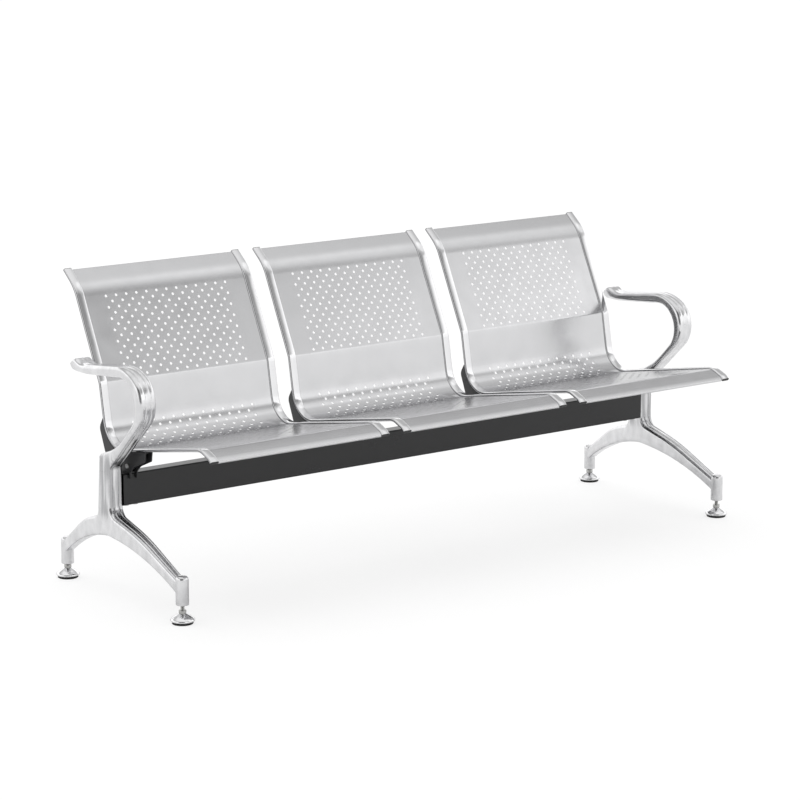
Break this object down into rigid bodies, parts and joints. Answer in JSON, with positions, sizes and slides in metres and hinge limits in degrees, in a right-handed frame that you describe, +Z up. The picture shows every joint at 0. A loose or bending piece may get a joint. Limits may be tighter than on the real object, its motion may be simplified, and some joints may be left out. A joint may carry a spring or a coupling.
{
  "type": "beam seating bench",
  "caption": "Waiting-room beam bench: perforated steel seat shells on chromed side rails, black beam, cast end legs with looped arms and levelling glides.",
  "frame": {"origin": "on the floor, at the middle of the bench's own length and depth", "axes": "+X along the bench to the right end seen from the front, +Y to the back, +Z up"},
  "size_m": [1.81, 0.6624, 0.7838],
  "materials": {
    "beam_paint": "satin black powder coat",
    "bracket_paint": "satin black powder coat",
    "shell_steel": "satin plated perforated sheet",
    "rail_chrome": "polished plating",
    "casting_aluminium": "polished casting",
    "plug_plastic": "moulded black",
    "fastener_zinc": "zinc plated",
    "pin_steel": "bright pin",
    "stud_zinc": "zinc plated thread",
    "pad_chrome": "polished plating",
    "sole_rubber": "matt black"
  },
  "bodies": {
    "frame": {"beam_tube": "beam_paint", "left_seat_shell": "shell_steel", "left_seat_rail_left": "rail_chrome", "left_seat_rail_right": "rail_chrome", "left_seat_rail_plugs": "plug_plastic", "left_seat_bracket_left": "bracket_paint", "left_seat_bracket_right": "bracket_paint", "left_seat_saddle_bolts": "fastener_zinc", "left_seat_rail_bolts": "fastener_zinc", "left_seat_rail_nuts": "fastener_zinc", "middle_seat_shell": "shell_steel", "middle_seat_rail_left": "rail_chrome", "middle_seat_rail_right": "rail_chrome", "middle_seat_rail_plugs": "plug_plastic", "middle_seat_bracket_left": "bracket_paint", "middle_seat_bracket_right": "bracket_paint", "middle_seat_saddle_bolts": "fastener_zinc", "middle_seat_rail_bolts": "fastener_zinc", "middle_seat_rail_nuts": "fastener_zinc", "right_seat_shell": "shell_steel", "right_seat_rail_left": "rail_chrome", "right_seat_rail_right": "rail_chrome", "right_seat_rail_plugs": "plug_plastic", "right_seat_bracket_left": "bracket_paint", "right_seat_bracket_right": "bracket_paint", "right_seat_saddle_bolts": "fastener_zinc", "right_seat_rail_bolts": "fastener_zinc", "right_seat_rail_nuts": "fastener_zinc", "beam_rivet_nuts": "fastener_zinc", "bracket_pins": "pin_steel", "left_leg": "casting_aluminium", "left_arm": "casting_aluminium", "left_beam_screws": "fastener_zinc", "left_arm_screws": "fastener_zinc", "right_leg": "casting_aluminium", "right_arm": "casting_aluminium", "right_beam_screws": "fastener_zinc", "right_arm_screws": "fastener_zinc", "socket_inserts": "fastener_zinc"},
    "left_front_foot": {"left_front_pad": "pad_chrome", "left_front_sole": "sole_rubber"},
    "left_front_screw": {"left_front_stud": "stud_zinc"},
    "left_rear_foot": {"left_rear_pad": "pad_chrome", "left_rear_sole": "sole_rubber"},
    "left_rear_screw": {"left_rear_stud": "stud_zinc"},
    "right_front_foot": {"right_front_pad": "pad_chrome", "right_front_sole": "sole_rubber"},
    "right_front_screw": {"right_front_stud": "stud_zinc"},
    "right_rear_foot": {"right_rear_pad": "pad_chrome", "right_rear_sole": "sole_rubber"},
    "right_rear_screw": {"right_rear_stud": "stud_zinc"}
  },
  "joints": [
    {"name": "left_front_height", "type": "slide", "parent": "frame", "child": "left_front_foot", "axis": [0, 0, -1], "range_m": [-0.0105, 0.012]},
    {"name": "left_front_turn", "type": "hinge", "parent": "left_front_foot", "child": "left_front_screw", "pos_m": [-0.875, -0.2524, 0.03], "axis": [0, 0, -1], "range_deg": [-2521, 2881]},
    {"name": "left_rear_height", "type": "slide", "parent": "frame", "child": "left_rear_foot", "axis": [0, 0, -1], "range_m": [-0.0015, 0.012]},
    {"name": "left_rear_turn", "type": "hinge", "parent": "left_rear_foot", "child": "left_rear_screw", "pos_m": [-0.875, 0.2792, 0.03], "axis": [0, 0, -1], "range_deg": [-361, 2881]},
    {"name": "right_front_height", "type": "slide", "parent": "frame", "child": "right_front_foot", "axis": [0, 0, -1], "range_m": [-0.0105, 0.012]},
    {"name": "right_front_turn", "type": "hinge", "parent": "right_front_foot", "child": "right_front_screw", "pos_m": [0.875, -0.2524, 0.03], "axis": [0, 0, -1], "range_deg": [-2521, 2881]},
    {"name": "right_rear_height", "type": "slide", "parent": "frame", "child": "right_rear_foot", "axis": [0, 0, -1], "range_m": [-0.0015, 0.012]},
    {"name": "right_rear_turn", "type": "hinge", "parent": "right_rear_foot", "child": "right_rear_screw", "pos_m": [0.875, 0.2792, 0.03], "axis": [0, 0, -1], "range_deg": [-361, 2881]}
  ],
  "couplings": [
    {"joint": "left_front_turn", "follows": "left_front_height", "rad_per_m": 4188.8},
    {"joint": "left_rear_turn", "follows": "left_rear_height", "rad_per_m": 4188.8},
    {"joint": "right_front_turn", "follows": "right_front_height", "rad_per_m": 4188.8},
    {"joint": "right_rear_turn", "follows": "right_rear_height", "rad_per_m": 4188.8}
  ]
}
